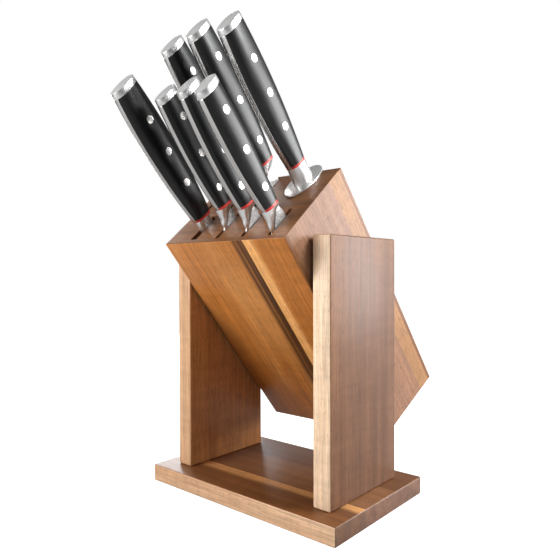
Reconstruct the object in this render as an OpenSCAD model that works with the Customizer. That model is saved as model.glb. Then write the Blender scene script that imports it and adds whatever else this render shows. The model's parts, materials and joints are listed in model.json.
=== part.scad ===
// Tilted knife block on two uprights, with five full-tang knives, a carving fork
// and a honing steel.
// The origin is at the centre of the base's underside, +Z is up and the front faces -Y.

/* [Base and uprights] */
// Depth of the base, front to back
base_d = 127; // [110:1:160]
// Thickness of the base boards
base_t = 14.5; // [12:0.5:20]
// Base left showing outside each upright
base_margin = 15.5; // [8:0.5:30]
// Thickness of each upright
upright_t = 16; // [12:0.5:20]
// Depth of each upright, front to back
upright_d = 94; // [80:1:105]
// Gap between the block's side and each upright
side_gap = 2.5; // [1:0.5:4]

/* [Block] */
// Width of the block
block_w = 132; // [110:1:170]
// Length of the block's front face
block_front_l = 222; // [185:1:270]
// Tilt of the block back from upright
block_tilt = 40; // [35:1:45]
// Angle of the bottom cut from square
bottom_cut = 14.7; // [5:0.1:20]
// Height of the block's lowest corner above the base
block_clear = 28; // [15:1:50]
// How far the top front edge stands out in front of the uprights
top_overhang = 29; // [20:1:36]
// Thickness of the front and back panels
panel_t = 4.5; // [3.5:0.5:7]
// Thickness of the divider between the two rows of slots
divider_t = 4; // [3:0.5:7]

/* [Slots] */
// Front to back size of the front row of slots
front_slot_d = 33; // [31:0.5:40]
// Front to back size of the rear row of slots
rear_slot_d = 45.5; // [44:0.5:54]
// Width of an ordinary knife slot
slot_w = 3.5; // [3:0.1:5]
// Width of the slot that takes the carving fork's bolster
wide_slot_w = 6.6; // [6.4:0.1:8]
// Width of the channel for the honing steel
steel_slot_w = 14.5; // [13.5:0.5:17]

/* [Handles] */
// Length of a large handle, spacer to butt
large_handle_l = 117; // [98:1:140]
// Length of a small handle, spacer to butt
small_handle_l = 97; // [82:1:116]
// Thickness of the tang
tang_t = 4.4; // [3:0.1:5]
// Thickness of the red spacers
spacer_t = 2; // [1:0.1:3]
// Height of the end cap's side band
cap_h = 4.5; // [3:0.5:8]
// Diameter of the handle rivets
rivet_d = 6; // [4:0.5:8]

/* [Blades] */
// Thickness of a blade at its spine
blade_t = 2; // [1.5:0.1:2.5]
// Length of the carving fork below its bolster
fork_l = 165; // [137:1:198]
// Blade length of the paring knife
paring_blade_l = 90; // [75:1:110]
// Blade length of the utility knife
utility_blade_l = 125; // [104:1:150]
// Blade length of the boning knife
boning_blade_l = 140; // [116:1:170]
// Blade length of the chef's knife
chef_blade_l = 200; // [165:1:240]
// Blade length of the santoku knife
santoku_blade_l = 178; // [148:1:215]
// Length of the honing steel's rod below its guard
steel_rod_l = 200; // [165:1:240]
// Diameter of the honing steel's rod
steel_rod_d = 12; // [9:0.5:13]

/* [Fasteners] */
// Diameter of the dowels that carry the block
dowel_d = 8; // [6:1:10]
// Depth of each dowel in the block
dowel_in_block = 8; // [6:0.5:9]
// Depth of each dowel in an upright
dowel_in_upright = 10; // [8:0.5:11]
// Diameter of the screws that hold the uprights
screw_d = 4; // [3:0.5:5]
// Length of those screws
screw_l = 40; // [30:1:50]

/* [Hidden] */
$fn = 64;
over = 0.5;
far = 400;

// Block, in its own frame: X across, Y through its thickness, Z up its length.
// Its origin is the middle of the top front edge.
front_slot_y0 = panel_t;
front_slot_y1 = front_slot_y0 + front_slot_d;
rear_slot_y0 = front_slot_y1 + divider_t;
rear_slot_y1 = rear_slot_y0 + rear_slot_d;
block_d = rear_slot_y1 + panel_t;
cut_slope = tan(bottom_cut);

upright_in = block_w / 2 + side_gap;
upright_out = upright_in + upright_t;
upright_rise = 3.5;
upright_top = base_t + block_clear + block_front_l * cos(block_tilt) + upright_rise;
base_w = 2 * (upright_out + base_margin);
front_joint_y = -24.5;
rear_joint_y = 20;

block_y = -upright_d / 2 - top_overhang;
block_z = upright_top - upright_rise;

// Front row: four slots between fixed side margins
front_left_margin = 32;
front_right_margin = 17;
front_pitch = (block_w - front_left_margin - front_right_margin) / 3;
front_x = [for (i = [0:3]) -block_w / 2 + front_left_margin + i * front_pitch];
front_slot_w = [wide_slot_w, slot_w, slot_w, slot_w];

// Rear row: a spare slot, two knives and the steel, which has a little more room
rear_left_margin = 12;
steel_margin = 27.5;
steel_extra = 4;
rear_pitch = (block_w - rear_left_margin - steel_margin - steel_extra) / 3;
rear_x = [for (i = [0:2]) -block_w / 2 + rear_left_margin + i * rear_pitch];
steel_x = block_w / 2 - steel_margin;
steel_slot_d = 22.5;
steel_slot_y0 = rear_slot_y1 - steel_slot_d;
right_panel_w = 41.6;
front_joint_x = block_w / 2 - right_panel_w;

// Handles: [length, half width at the spacer, at the belly, at the butt, belly place,
//           half thickness at the spacer, at the butt, crown radius, end radius, rivet places]
wide_rivets = [0.17, 0.475, 0.78];
close_rivets = [0.275, 0.51, 0.735];
large_handle = [large_handle_l, 9.3, 15.5, 11.2, 0.56 * large_handle_l, 6.5, 7.7, 22, 12.5,
                wide_rivets];
santoku_handle_l = large_handle_l - 1.5;
santoku_handle = [santoku_handle_l, 9.3, 15.5, 11.2, 0.56 * santoku_handle_l, 6.5, 7.7, 22, 12.5,
                  wide_rivets];
steel_handle = [large_handle_l, 9.3, 15.5, 11.2, 0.56 * large_handle_l, 6.5, 7.7, 22, 12.5,
                close_rivets];
fork_handle_l = large_handle_l + 3;
fork_handle = [fork_handle_l, 9.3, 15.5, 11.2, 0.56 * fork_handle_l, 6.5, 7.7, 22, 12.5,
               close_rivets];
small_handle = [small_handle_l, 8, 12.7, 9.8, 0.54 * small_handle_l, 5.6, 6.6, 18, 12,
                wide_rivets];
butt_drop = 4;
crown_flare = 0.4;
crown_close = 1.4;
handle_steps = 14;

// Blades: [length, edge offset, spine offset, tip offset, edge curve, spine curve]
paring_blade = [paring_blade_l, 13.5, 7, 0, 2.4, 4];
utility_blade = [utility_blade_l, 13.5, 9.5, 2, 3, 5];
boning_blade = [boning_blade_l, 11.8, 10.9, 3, 3, 5];
chef_blade = [chef_blade_l, 34.5, 9, 0, 2.6, 6];
santoku_blade = [santoku_blade_l, 37, 6.5, -26, 6, 4];
blade_steps = 12;
edge_t = 0.4;
slot_play = 1;
boning_play = 1.5;

// Seats: height of each spacer above the block's top face
paring_seat = 15.3;
utility_seat = 16;
boning_seat = 15.6;
fork_seat = 9;
chef_seat = 17;
santoku_seat = 21.5;
steel_seat = 17;

// Where the loosest tools stand in their slots, front to back, and how far they lean back
fork_y = front_slot_y0 + 19.3;
paring_y = front_slot_y0 + 21.9;
utility_y = front_slot_y0 + 17.7;
paring_lean = 3;
utility_lean = 3.5;

// Knives: [x, y, seat, handle, lean, blade, bolster front length, bolster back length, heel depth]
full_bolster_l = 16.5;
small_back_l = 10;
paring = [front_x[1], paring_y, paring_seat, small_handle, paring_lean,
          paring_blade, full_bolster_l, small_back_l, full_bolster_l];
utility = [front_x[2], utility_y, utility_seat, small_handle, utility_lean,
           utility_blade, full_bolster_l, small_back_l, full_bolster_l];
boning = [front_x[3], front_slot_y0 + boning_play + boning_blade[1], boning_seat, small_handle, 0,
          boning_blade, full_bolster_l, small_back_l, full_bolster_l];
chef = [rear_x[1], rear_slot_y1 - slot_play - chef_blade[2], chef_seat, large_handle, 0,
        chef_blade, 14, 10, 20];
santoku = [rear_x[2], rear_slot_y1 - slot_play - santoku_blade[2], santoku_seat, santoku_handle, 0,
           santoku_blade, 14, 10, 25];

// Fork: a bolster that sinks into its slot, a neck, then two prongs
fork = [front_x[0], fork_y, fork_seat, fork_handle, 0];
fork_sink = 8;
fork_bolster_half = 8;
fork_neck_half = 4.5;
fork_prong_half = 11.5;
fork_prong_w = 4.5;
fork_tip_in = 2.5;
fork_tip_w = 0.5;
fork_crotch_round = 5;
fork_t = 4;

// Honing steel: an oval guard under a ferrule that flares towards it
steel = [steel_x, steel_slot_y0 + steel_slot_d / 2, steel_seat, steel_handle, 0];
guard_t = 2;
guard_a = 13.3;
guard_b = 23;
ferrule_flare = 1;
rod_in_handle = 2;

// Dowels, in the block's frame: [depth from the front face, distance down the front face]
dowel_places = [
    [front_slot_y0 + front_slot_d / 2, 0.27 * block_front_l],
    [front_slot_y0 + front_slot_d / 2, 0.57 * block_front_l],
    [rear_slot_y0 + rear_slot_d * 0.6, 0.44 * block_front_l]
];
screw_y = 33;
screw_head_d = 2 * screw_d;
screw_sink = 0.5;
recess_l = 4.4;
recess_w = 1;
recess_d = 1.2;

walnut = [0.45, 0.27, 0.15];
tan_wood = [0.72, 0.48, 0.28];
pale_wood = [0.88, 0.71, 0.55];
steel_grey = [0.78, 0.78, 0.78];
blade_grey = [0.62, 0.61, 0.60];
scale_black = [0.05, 0.05, 0.05];
spacer_red = [0.78, 0.08, 0.08];
zinc = [0.70, 0.72, 0.74];
beech = [0.85, 0.70, 0.50];

// ---- Frames and plain shapes ----

module in_block() {
    translate([0, block_y, block_z])
        rotate([block_tilt, 0, 0])
            children();
}

module at_knife(k) {
    in_block()
        translate([k[0], k[1], 0])
            rotate([-k[4], 0, 0])
                translate([0, 0, k[2]])
                    children();
}

// A plate whose outline is drawn in Y and Z, from x0 to x1
module side_plate(x0, x1, outline) {
    translate([x0, 0, 0])
        rotate([90, 0, 90])
            linear_extrude(x1 - x0)
                polygon(outline);
}

// ---- Base and uprights ----

module screw_places() {
    for (side = [-1, 1])
        for (y = [-screw_y, screw_y])
            translate([side * (upright_in + upright_out) / 2, y, 0])
                children();
}

module screw_shape() {
    translate([0, 0, screw_sink])
        union() {
            cylinder(h = screw_l, d = screw_d);
            cylinder(h = (screw_head_d - screw_d) / 2, d1 = screw_head_d, d2 = screw_d);
        }
}

module screw_holes() {
    screw_places() {
        screw_shape();
        translate([0, 0, -over])
            cylinder(h = screw_sink + over, d = screw_head_d);
    }
}

module base_stave(y0, y1, tone) {
    color(tone)
        difference() {
            translate([-base_w / 2, y0, 0])
                cube([base_w, y1 - y0, base_t]);
            screw_holes();
        }
}

module dowel_places_at() {
    in_block()
        for (place = dowel_places)
            translate([0, place[0], -place[1]])
                children();
}

module dowel_pair() {
    for (side = [-1, 1])
        translate([side * (block_w / 2 - dowel_in_block), 0, 0])
            rotate([0, side * 90, 0])
                cylinder(h = dowel_in_block + side_gap + dowel_in_upright, d = dowel_d);
}

module upright(side, tone) {
    color(tone)
        difference() {
            translate([side > 0 ? upright_in : -upright_out, -upright_d / 2, base_t])
                cube([upright_t, upright_d, upright_top - base_t]);
            dowel_places_at()
                dowel_pair();
            screw_holes();
        }
}

module upright_screws() {
    color(zinc)
        screw_places()
            difference() {
                screw_shape();
                translate([0, 0, screw_sink - over])
                    for (turn = [0, 90])
                        rotate(turn)
                            translate([-recess_l / 2, -recess_w / 2, 0])
                                cube([recess_l, recess_w, recess_d + over]);
            }
}

module block_dowels() {
    color(beech)
        dowel_places_at()
            dowel_pair();
}

// ---- Block ----

// A board of the block between two depths, cut off slanting at the bottom
module block_board(x0, x1, y0, y1) {
    side_plate(x0, x1, [
        [y0, 0],
        [y1, 0],
        [y1, -block_front_l - y1 * cut_slope],
        [y0, -block_front_l - y0 * cut_slope]
    ]);
}

module panel(x0, x1, y0, y1, tone) {
    color(tone)
        in_block()
            block_board(x0, x1, y0, y1);
}

module strip(x0, x1, y0, y1, tone) {
    color(tone)
        difference() {
            in_block()
                block_board(x0, x1, y0, y1);
            dowel_places_at()
                dowel_pair();
        }
}

function front_edge_left(i) = i == 0 ? -block_w / 2 : front_x[i - 1] + front_slot_w[i - 1] / 2;
function front_edge_right(i) = i == 4 ? block_w / 2 : front_x[i] - front_slot_w[i] / 2;

module front_strip(i) {
    strip(front_edge_left(i), front_edge_right(i), front_slot_y0, front_slot_y1, tan_wood);
}

function rear_edge_left(i) =
    i == 0 ? -block_w / 2 : i == 4 ? steel_x + steel_slot_w / 2 : rear_x[i - 1] + slot_w / 2;
function rear_edge_right(i) =
    i == 4 ? block_w / 2 : i == 3 ? steel_x - steel_slot_w / 2 : rear_x[i] - slot_w / 2;

module rear_strip(i) {
    strip(rear_edge_left(i), rear_edge_right(i), rear_slot_y0, rear_slot_y1, tan_wood);
}

module steel_channel_filler() {
    panel(steel_x - steel_slot_w / 2, steel_x + steel_slot_w / 2, rear_slot_y0, steel_slot_y0,
          tan_wood);
}

// ---- Handles ----

// Half width of a handle at height s above the spacer's underside
function handle_half(h, s) =
    s < h[4] ? h[2] - (h[2] - h[1]) * pow((h[4] - s) / h[4], 2)
             : h[2] - (h[2] - h[3]) * pow((s - h[4]) / (h[0] - h[4]), 2);

// Outline of a handle between two heights; a slope lowers the front of the top end
function handle_outline(h, s0, s1, slope) = concat(
    [for (i = [0:handle_steps])
        let (s = s0 + (s1 - slope - s0) * i / handle_steps) [-handle_half(h, s), s]],
    [for (i = [handle_steps:-1:0])
        let (s = s0 + (s1 - s0) * i / handle_steps) [handle_half(h, s), s]]
);

// One side of a handle's crowned cross-section: a broad crown, rounded off at both ends
module crown_side(h, grow) {
    broad = h[7] - h[5];
    bottom = h[8] - h[5];
    top = h[8] - h[6];
    flare = crown_flare * h[0];
    intersection() {
        translate([-broad, 0, -far / 10])
            union() {
                cylinder(h = far / 10, r = h[7] + grow);
                translate([0, 0, far / 10])
                    cylinder(h = h[0] + over, r1 = h[7] + grow, r2 = broad + h[6] + grow);
            }
        translate([-bottom, 0, -far / 10])
            union() {
                cylinder(h = far / 10, r = h[8] + grow);
                translate([0, 0, far / 10])
                    cylinder(h = h[0] + over, r1 = h[8] + grow, r2 = h[8] + grow + flare);
            }
        translate([-top, 0, -far / 10])
            cylinder(h = h[0] + far / 10, r1 = h[8] + flare * crown_close, r2 = h[8]);
    }
}

// The crowned cross-section that every piece of a handle shares
module crown(h, grow = 0) {
    intersection_for (turn = [0, 180])
        rotate(turn)
            crown_side(h, grow);
}

module handle_section(h, s0, s1, slope) {
    intersection() {
        crown(h);
        side_plate(-far / 10, far / 10, handle_outline(h, s0, s1, slope));
    }
}

module rivet_places(h) {
    for (share = h[9])
        translate([0, 0, share * h[0]])
            rotate([0, 90, 0])
                cylinder(h = far / 10, d = rivet_d, center = true);
}

module scale(k, side) {
    h = k[3];
    color(scale_black)
        at_knife(k)
            difference() {
                handle_section(h, spacer_t, h[0] - cap_h, butt_drop);
                translate([side > 0 ? tang_t / 2 - far : -tang_t / 2, -far / 2, -far / 2])
                    cube([far, far, far]);
                rivet_places(h);
            }
}

module spacers(k) {
    color(spacer_red)
        at_knife(k)
            difference() {
                handle_section(k[3], 0, spacer_t, 0);
                cube([tang_t, far, far], center = true);
            }
}

module rivets(k) {
    color(steel_grey)
        at_knife(k)
            intersection() {
                crown(k[3]);
                rivet_places(k[3]);
            }
}

// Tang with its end cap, up from the spacer's underside
module tang_and_cap(h) {
    difference() {
        union() {
            side_plate(-tang_t / 2, tang_t / 2, handle_outline(h, 0, h[0], butt_drop));
            difference() {
                handle_section(h, 0, h[0], butt_drop);
                side_plate(-far / 10, far / 10, cap_cut_outline(h));
            }
        }
        rivet_places(h);
    }
}

// Everything below the cap's lower face, which slants with the butt
function cap_cut_outline(h) = [
    [-handle_half(h, h[0] - cap_h - butt_drop), h[0] - cap_h - butt_drop],
    [handle_half(h, h[0] - cap_h), h[0] - cap_h],
    [far / 10, h[0] - cap_h],
    [far / 10, -over],
    [-far / 10, -over],
    [-far / 10, h[0] - cap_h - butt_drop]
];

// ---- Blades ----

// Outline of a blade: the edge from heel to tip, then the spine back up
function blade_outline(b, heel, top) = concat(
    [for (i = [0:blade_steps])
        let (t = i / blade_steps)
        [-b[1] + (b[1] + b[3]) * pow(t, b[4]), -heel - b[0] * t]],
    [for (i = [blade_steps - 1:-1:0])
        let (t = i / blade_steps)
        [b[2] - (b[2] - b[3]) * pow(t, b[5]), -heel - b[0] * t]],
    [[b[2], top]]
);

// A wedge that thins a blade from its spine to its edge
module blade_section(b, depth) {
    translate([0, 0, -depth])
        linear_extrude(depth)
            polygon([
                [-blade_t / 2, b[2]],
                [blade_t / 2, b[2]],
                [edge_t / 2, -b[1]],
                [-edge_t / 2, -b[1]]
            ]);
}

// The bolster thins from the handle's full section to the blade's thickness
module bolster(k) {
    h = k[3];
    b = k[5];
    front = min(b[1], h[1] + 5);
    intersection() {
        crown(h);
        side_plate(-far / 10, far / 10, [
            [-h[1], 0],
            [-h[1] - 0.5, -k[6] / 2],
            [-front, -k[6]],
            [-front + 4, -k[6] * 0.9 - 0.5],
            [0, -(k[6] + k[7]) / 2 + 1],
            [b[2], -k[7]],
            [h[1], 0]
        ]);
        translate([0, far / 2, 0])
            rotate([90, 0, 0])
                linear_extrude(far)
                    polygon([
                        [-h[5], 0],
                        [-h[5], -2],
                        [-blade_t / 2 - 0.2, -k[6]],
                        [blade_t / 2 + 0.2, -k[6]],
                        [h[5], -2],
                        [h[5], 0]
                    ]);
    }
}

module knife_steel(k) {
    b = k[5];
    color(steel_grey)
        at_knife(k) {
            tang_and_cap(k[3]);
            bolster(k);
            intersection() {
                side_plate(-blade_t, blade_t, concat(blade_outline(b, k[8], -k[7] + 1), [
                    [-k[3][1], -k[7] + 1],
                    [-k[3][1], -k[6] + 1]
                ]));
                blade_section(b, far);
            }
        }
}

// ---- Carving fork ----

// The bolster stays thick and goes down into its slot; a neck and two tines follow
module fork_bolster(h) {
    half = wide_slot_w / 2 - 0.3;
    length = fork_seat + fork_sink;
    intersection() {
        crown(h);
        side_plate(-far / 10, far / 10, [
            [-fork_bolster_half + 1, 0],
            [-fork_bolster_half, -fork_seat],
            [-fork_bolster_half, 2 - length],
            [-fork_neck_half, -length],
            [fork_neck_half, -length],
            [fork_bolster_half, 2 - length],
            [fork_bolster_half, -fork_seat],
            [fork_bolster_half - 1, 0]
        ]);
        translate([0, far / 2, 0])
            rotate([90, 0, 0])
                linear_extrude(far)
                    polygon([
                        [-half - 0.9, 0],
                        [-half, -fork_seat],
                        [-half, -length],
                        [half, -length],
                        [half, -fork_seat],
                        [half + 0.9, 0]
                    ]);
    }
}

module fork_prongs() {
    start = fork_seat + fork_sink - 2;
    crotch = start + 0.4 * fork_l;
    end = start + fork_l;
    difference() {
        side_plate(-fork_t / 2, fork_t / 2, [
            [-fork_neck_half, -start],
            [-fork_neck_half, -start - 0.2 * fork_l],
            [-fork_prong_half, -crotch],
            [-fork_prong_half + fork_tip_in, -end],
            [fork_prong_half - fork_tip_in, -end],
            [fork_prong_half, -crotch],
            [fork_neck_half, -start - 0.2 * fork_l],
            [fork_neck_half, -start]
        ]);
        side_plate(-fork_t, fork_t, [
            [0, -crotch + fork_crotch_round],
            [-fork_prong_half + fork_prong_w, -crotch],
            [-fork_prong_half + fork_tip_in + fork_tip_w, -end - over],
            [fork_prong_half - fork_tip_in - fork_tip_w, -end - over],
            [fork_prong_half - fork_prong_w, -crotch]
        ]);
    }
}

module carving_fork_tines() {
    color(steel_grey)
        at_knife(fork) {
            tang_and_cap(fork[3]);
            fork_bolster(fork[3]);
            fork_prongs();
        }
}

// ---- Honing steel ----

function ellipse(a, b, steps = 48) =
    [for (i = [0:steps - 1]) [a * cos(i * 360 / steps), b * sin(i * 360 / steps)]];

module steel_guard() {
    color(steel_grey)
        at_knife(steel)
            translate([0, 0, -steel[2]])
                difference() {
                    linear_extrude(guard_t)
                        polygon(ellipse(guard_a, guard_b));
                    translate([0, 0, -over])
                        cylinder(h = guard_t + 2 * over, d = steel_rod_d);
                }
}

module steel_tang() {
    h = steel[3];
    ferrule_l = steel[2] - guard_t;
    color(steel_grey)
        at_knife(steel)
            difference() {
                union() {
                    tang_and_cap(h);
                    intersection() {
                        crown(h, ferrule_flare);
                        side_plate(-far / 10, far / 10, [
                            [-h[1], 0],
                            [-h[1] - ferrule_flare, -ferrule_l],
                            [h[1] + ferrule_flare, -ferrule_l],
                            [h[1], 0]
                        ]);
                        translate([0, far / 2, 0])
                            rotate([90, 0, 0])
                                linear_extrude(far)
                                    polygon([
                                        [-h[5], 0],
                                        [-h[5] - ferrule_flare, -ferrule_l],
                                        [h[5] + ferrule_flare, -ferrule_l],
                                        [h[5], 0]
                                    ]);
                    }
                }
                translate([0, 0, -steel[2]])
                    cylinder(h = steel[2] - rod_in_handle, d = steel_rod_d);
            }
}

module steel_rod() {
    tip = 6;
    color(blade_grey)
        at_knife(steel)
            translate([0, 0, -steel[2] - steel_rod_l])
                union() {
                    translate([0, 0, tip])
                        cylinder(h = steel_rod_l + steel[2] - tip - rod_in_handle,
                                 d = steel_rod_d);
                    cylinder(h = tip, d1 = steel_rod_d / 2, d2 = steel_rod_d);
                }
}

base_stave(-base_d / 2, front_joint_y, pale_wood);  // base_front_stave
base_stave(front_joint_y, rear_joint_y, walnut);  // base_middle_stave
base_stave(rear_joint_y, base_d / 2, walnut);  // base_rear_stave
upright(-1, walnut);  // left_upright
upright(1, pale_wood);  // right_upright
upright_screws();
block_dowels();

panel(-block_w / 2, front_joint_x, 0, panel_t, tan_wood);  // front_panel_left
panel(front_joint_x, block_w / 2, 0, panel_t, pale_wood);  // front_panel_right
panel(-block_w / 2, block_w / 2, rear_slot_y1, block_d, tan_wood);  // back_panel
panel(-block_w / 2, block_w / 2, front_slot_y1, rear_slot_y0, walnut);  // row_divider
front_strip(0);  // front_strip_1
front_strip(1);  // front_strip_2
front_strip(2);  // front_strip_3
front_strip(3);  // front_strip_4
front_strip(4);  // front_strip_5
rear_strip(0);  // rear_strip_1
rear_strip(1);  // rear_strip_2
rear_strip(2);  // rear_strip_3
rear_strip(3);  // rear_strip_4
rear_strip(4);  // rear_strip_5
steel_channel_filler();

carving_fork_tines();
scale(fork, -1);  // carving_fork_left_scale
scale(fork, 1);  // carving_fork_right_scale
spacers(fork);  // carving_fork_spacers
rivets(fork);  // carving_fork_rivets
knife_steel(paring);  // paring_knife_blade
scale(paring, -1);  // paring_knife_left_scale
scale(paring, 1);  // paring_knife_right_scale
spacers(paring);  // paring_knife_spacers
rivets(paring);  // paring_knife_rivets
knife_steel(utility);  // utility_knife_blade
scale(utility, -1);  // utility_knife_left_scale
scale(utility, 1);  // utility_knife_right_scale
spacers(utility);  // utility_knife_spacers
rivets(utility);  // utility_knife_rivets
knife_steel(boning);  // boning_knife_blade
scale(boning, -1);  // boning_knife_left_scale
scale(boning, 1);  // boning_knife_right_scale
spacers(boning);  // boning_knife_spacers
rivets(boning);  // boning_knife_rivets
knife_steel(chef);  // chef_knife_blade
scale(chef, -1);  // chef_knife_left_scale
scale(chef, 1);  // chef_knife_right_scale
spacers(chef);  // chef_knife_spacers
rivets(chef);  // chef_knife_rivets
knife_steel(santoku);  // santoku_knife_blade
scale(santoku, -1);  // santoku_knife_left_scale
scale(santoku, 1);  // santoku_knife_right_scale
spacers(santoku);  // santoku_knife_spacers
rivets(santoku);  // santoku_knife_rivets
steel_tang();
steel_rod();
steel_guard();
scale(steel, -1);  // steel_left_scale
scale(steel, 1);  // steel_right_scale
spacers(steel);  // steel_spacers
rivets(steel);  // steel_rivets
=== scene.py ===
# %% [markdown]
# # A tilted knife block with six tools and a honing steel
# The block hangs between two uprights on a flat base. Everything here is built round a measured
# frame: solids of the right size and place that were designed before. This script gives them
# rounded edges, finished shapes and real-looking wood and steel. Lengths are in metres.

# %% Load the frame
import json
import math

import bpy
from mathutils import Matrix, Vector


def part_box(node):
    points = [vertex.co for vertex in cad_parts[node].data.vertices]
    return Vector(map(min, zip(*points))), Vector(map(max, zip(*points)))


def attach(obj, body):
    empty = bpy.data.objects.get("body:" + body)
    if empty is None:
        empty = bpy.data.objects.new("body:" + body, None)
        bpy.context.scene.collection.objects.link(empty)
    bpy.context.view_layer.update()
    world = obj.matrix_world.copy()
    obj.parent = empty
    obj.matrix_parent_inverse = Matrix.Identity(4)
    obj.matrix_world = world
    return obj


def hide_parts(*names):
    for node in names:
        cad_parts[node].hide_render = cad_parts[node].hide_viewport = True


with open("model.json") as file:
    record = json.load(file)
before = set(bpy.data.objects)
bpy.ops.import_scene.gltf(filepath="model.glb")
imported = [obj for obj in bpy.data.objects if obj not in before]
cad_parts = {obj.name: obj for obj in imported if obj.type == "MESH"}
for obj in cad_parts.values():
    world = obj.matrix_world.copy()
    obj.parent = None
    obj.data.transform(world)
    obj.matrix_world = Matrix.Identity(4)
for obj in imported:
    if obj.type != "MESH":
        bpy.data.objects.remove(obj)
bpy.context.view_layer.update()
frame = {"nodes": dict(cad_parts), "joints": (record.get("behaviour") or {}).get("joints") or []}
nodes = frame["nodes"]
MM = 0.001

# %% [markdown]
# ## Where things are
# The block leans back, so a box drawn round one of its boards says little. It is easier to
# measure in a frame that leans with it: X across, Y through its thickness and Z up its length.
# Every tool slides out along its own axis, so the joints already hold each lean.

# %% Frames that lean with the block and with each tool
slides = {joint["child"]: joint for joint in frame["joints"]}


def leaning(body):
    """A turn about X that takes Z onto the way a tool slides out."""
    along = Vector(slides[body]["axis"])
    return Matrix.Rotation(math.atan2(-along.y, along.z), 4, "X")


def extent(node, place):
    """Lowest and highest corner of a frame solid, measured in a leaning frame."""
    back = place.inverted()
    spots = [back @ v.co for v in nodes[node].data.vertices]
    low = Vector([min(p[i] for p in spots) for i in range(3)])
    high = Vector([max(p[i] for p in spots) for i in range(3)])
    return low, high


block_place = leaning("boning_knife")
front_low, front_high = extent("front_panel_left", block_place)
back_low, back_high = extent("back_panel", block_place)
print("block is", round((back_high.x - back_low.x) / MM), "mm wide and",
      round((back_high.y - front_low.y) / MM), "mm thick")

# %% [markdown]
# ## Helpers for modelling
# Operators act on whatever is selected, so each helper starts by deselecting everything. The
# same steps could be repeated for every piece, but a helper keeps them alike. A finished piece
# has its place in its mesh and its object at the origin.

# %% Selecting, placing and finishing


def only(piece):
    """Make one piece the selected and active one."""
    if bpy.context.object and bpy.context.object.mode != "OBJECT":
        bpy.ops.object.mode_set(mode="OBJECT")
    bpy.ops.object.select_all(action="DESELECT")
    piece.select_set(True)
    bpy.context.view_layer.objects.active = piece


def settle(piece, place):
    """Move a piece into its place and write that place into its mesh."""
    only(piece)
    piece.matrix_world = place @ piece.matrix_world
    bpy.ops.object.transform_apply(location=True, rotation=True, scale=True)


def edit(piece):
    """Go into edit mode with every face selected."""
    only(piece)
    bpy.ops.object.mode_set(mode="EDIT")
    bpy.ops.mesh.select_mode(type="FACE")
    bpy.ops.mesh.select_all(action="SELECT")


def done():
    bpy.ops.object.mode_set(mode="OBJECT")


def apply(piece, kind, **settings):
    """Add a modifier, set it up and apply it."""
    only(piece)
    modifier = piece.modifiers.new(kind.lower(), kind)
    for key, value in settings.items():
        setattr(modifier, key, value)
    bpy.ops.object.modifier_apply(modifier=modifier.name)


def copy(piece, name):
    twin = piece.copy()
    twin.data = piece.data.copy()
    twin.name = twin.data.name = name
    bpy.context.scene.collection.objects.link(twin)
    return twin


def keep_side(piece, spot, away):
    """Cut a piece with a flat plane, drop what lies on the far side and close the cut."""
    edit(piece)
    bpy.ops.mesh.bisect(plane_co=spot, plane_no=away, use_fill=True, clear_outer=True)
    done()


def smooth(piece, angle=35):
    only(piece)
    bpy.ops.object.shade_smooth_by_angle(angle=math.radians(angle))


def join(pieces, name):
    only(pieces[0])
    for piece in pieces:
        piece.select_set(True)
    bpy.ops.object.join()
    pieces[0].name = pieces[0].data.name = name
    return pieces[0]


def discard(*pieces):
    for piece in pieces:
        bpy.data.objects.remove(piece)


def rounded_box(name, low, high, radius, segments=4):
    """A board: a cube drawn out to its size, with every edge eased."""
    bpy.ops.object.select_all(action="DESELECT")
    bpy.ops.mesh.primitive_cube_add(size=1)
    board = bpy.context.object
    board.name = board.data.name = name
    board.scale = high - low
    board.location = (low + high) / 2
    bpy.ops.object.transform_apply(location=True, rotation=True, scale=True)
    if radius:
        apply(board, "BEVEL", width=radius, segments=segments, limit_method="ANGLE")
    return board


print("helpers ready")

# %% [markdown]
# ## Wood
# Acacia has broad brown and tan bands along the grain, thin dark pores, and pale sapwood with
# a sharp border. Each board could have its own nodes, but one node group makes all of it once,
# and each board sets its own tones, its own grain direction and where its streaks run. The
# grain is built by stretching noise along Z.

# %% The acacia grain, as a node group
WOOD_INPUTS = [
    ("Place", "NodeSocketVector", None),
    ("Heart", "NodeSocketColor", None),
    ("Dark", "NodeSocketColor", None),
    ("Pale", "NodeSocketColor", None),
    ("Streak at", "NodeSocketFloat", 1.0),
    ("Streak width", "NodeSocketFloat", 0.01),
    ("Light at", "NodeSocketFloat", 1.0),
    ("Light width", "NodeSocketFloat", 0.01),
    ("Light tone", "NodeSocketColor", (0.5, 0.3, 0.15, 1)),
    ("Sap from", "NodeSocketFloat", 1.0),
    ("Band", "NodeSocketFloat", 0.5),
    ("Pores", "NodeSocketFloat", 0.5),
]
STREAK_WANDER = 0.004
PORE_TONE = (0.10, 0.04, 0.018, 1)


def wire(tree, source, target):
    tree.links.new(source, target)


def maths(tree, operation, first, second=None, third=None, clamp=False):
    node = tree.nodes.new("ShaderNodeMath")
    node.operation = operation
    node.use_clamp = clamp
    for socket, value in zip(node.inputs, (first, second, third)):
        if value is None:
            continue
        if hasattr(value, "is_output"):
            wire(tree, value, socket)
        else:
            socket.default_value = value
    return node.outputs[0]


def stretched(tree, place, scale):
    node = tree.nodes.new("ShaderNodeVectorMath")
    node.operation = "MULTIPLY"
    wire(tree, place, node.inputs[0])
    node.inputs[1].default_value = scale
    return node.outputs[0]


def noise(tree, place, scale, detail=3.0, rough=0.5, warp=0.0):
    node = tree.nodes.new("ShaderNodeTexNoise")
    wire(tree, stretched(tree, place, scale), node.inputs["Vector"])
    node.inputs["Scale"].default_value = 1.0
    node.inputs["Detail"].default_value = detail
    node.inputs["Roughness"].default_value = rough
    node.inputs["Distortion"].default_value = warp
    return node.outputs["Fac"]


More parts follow.
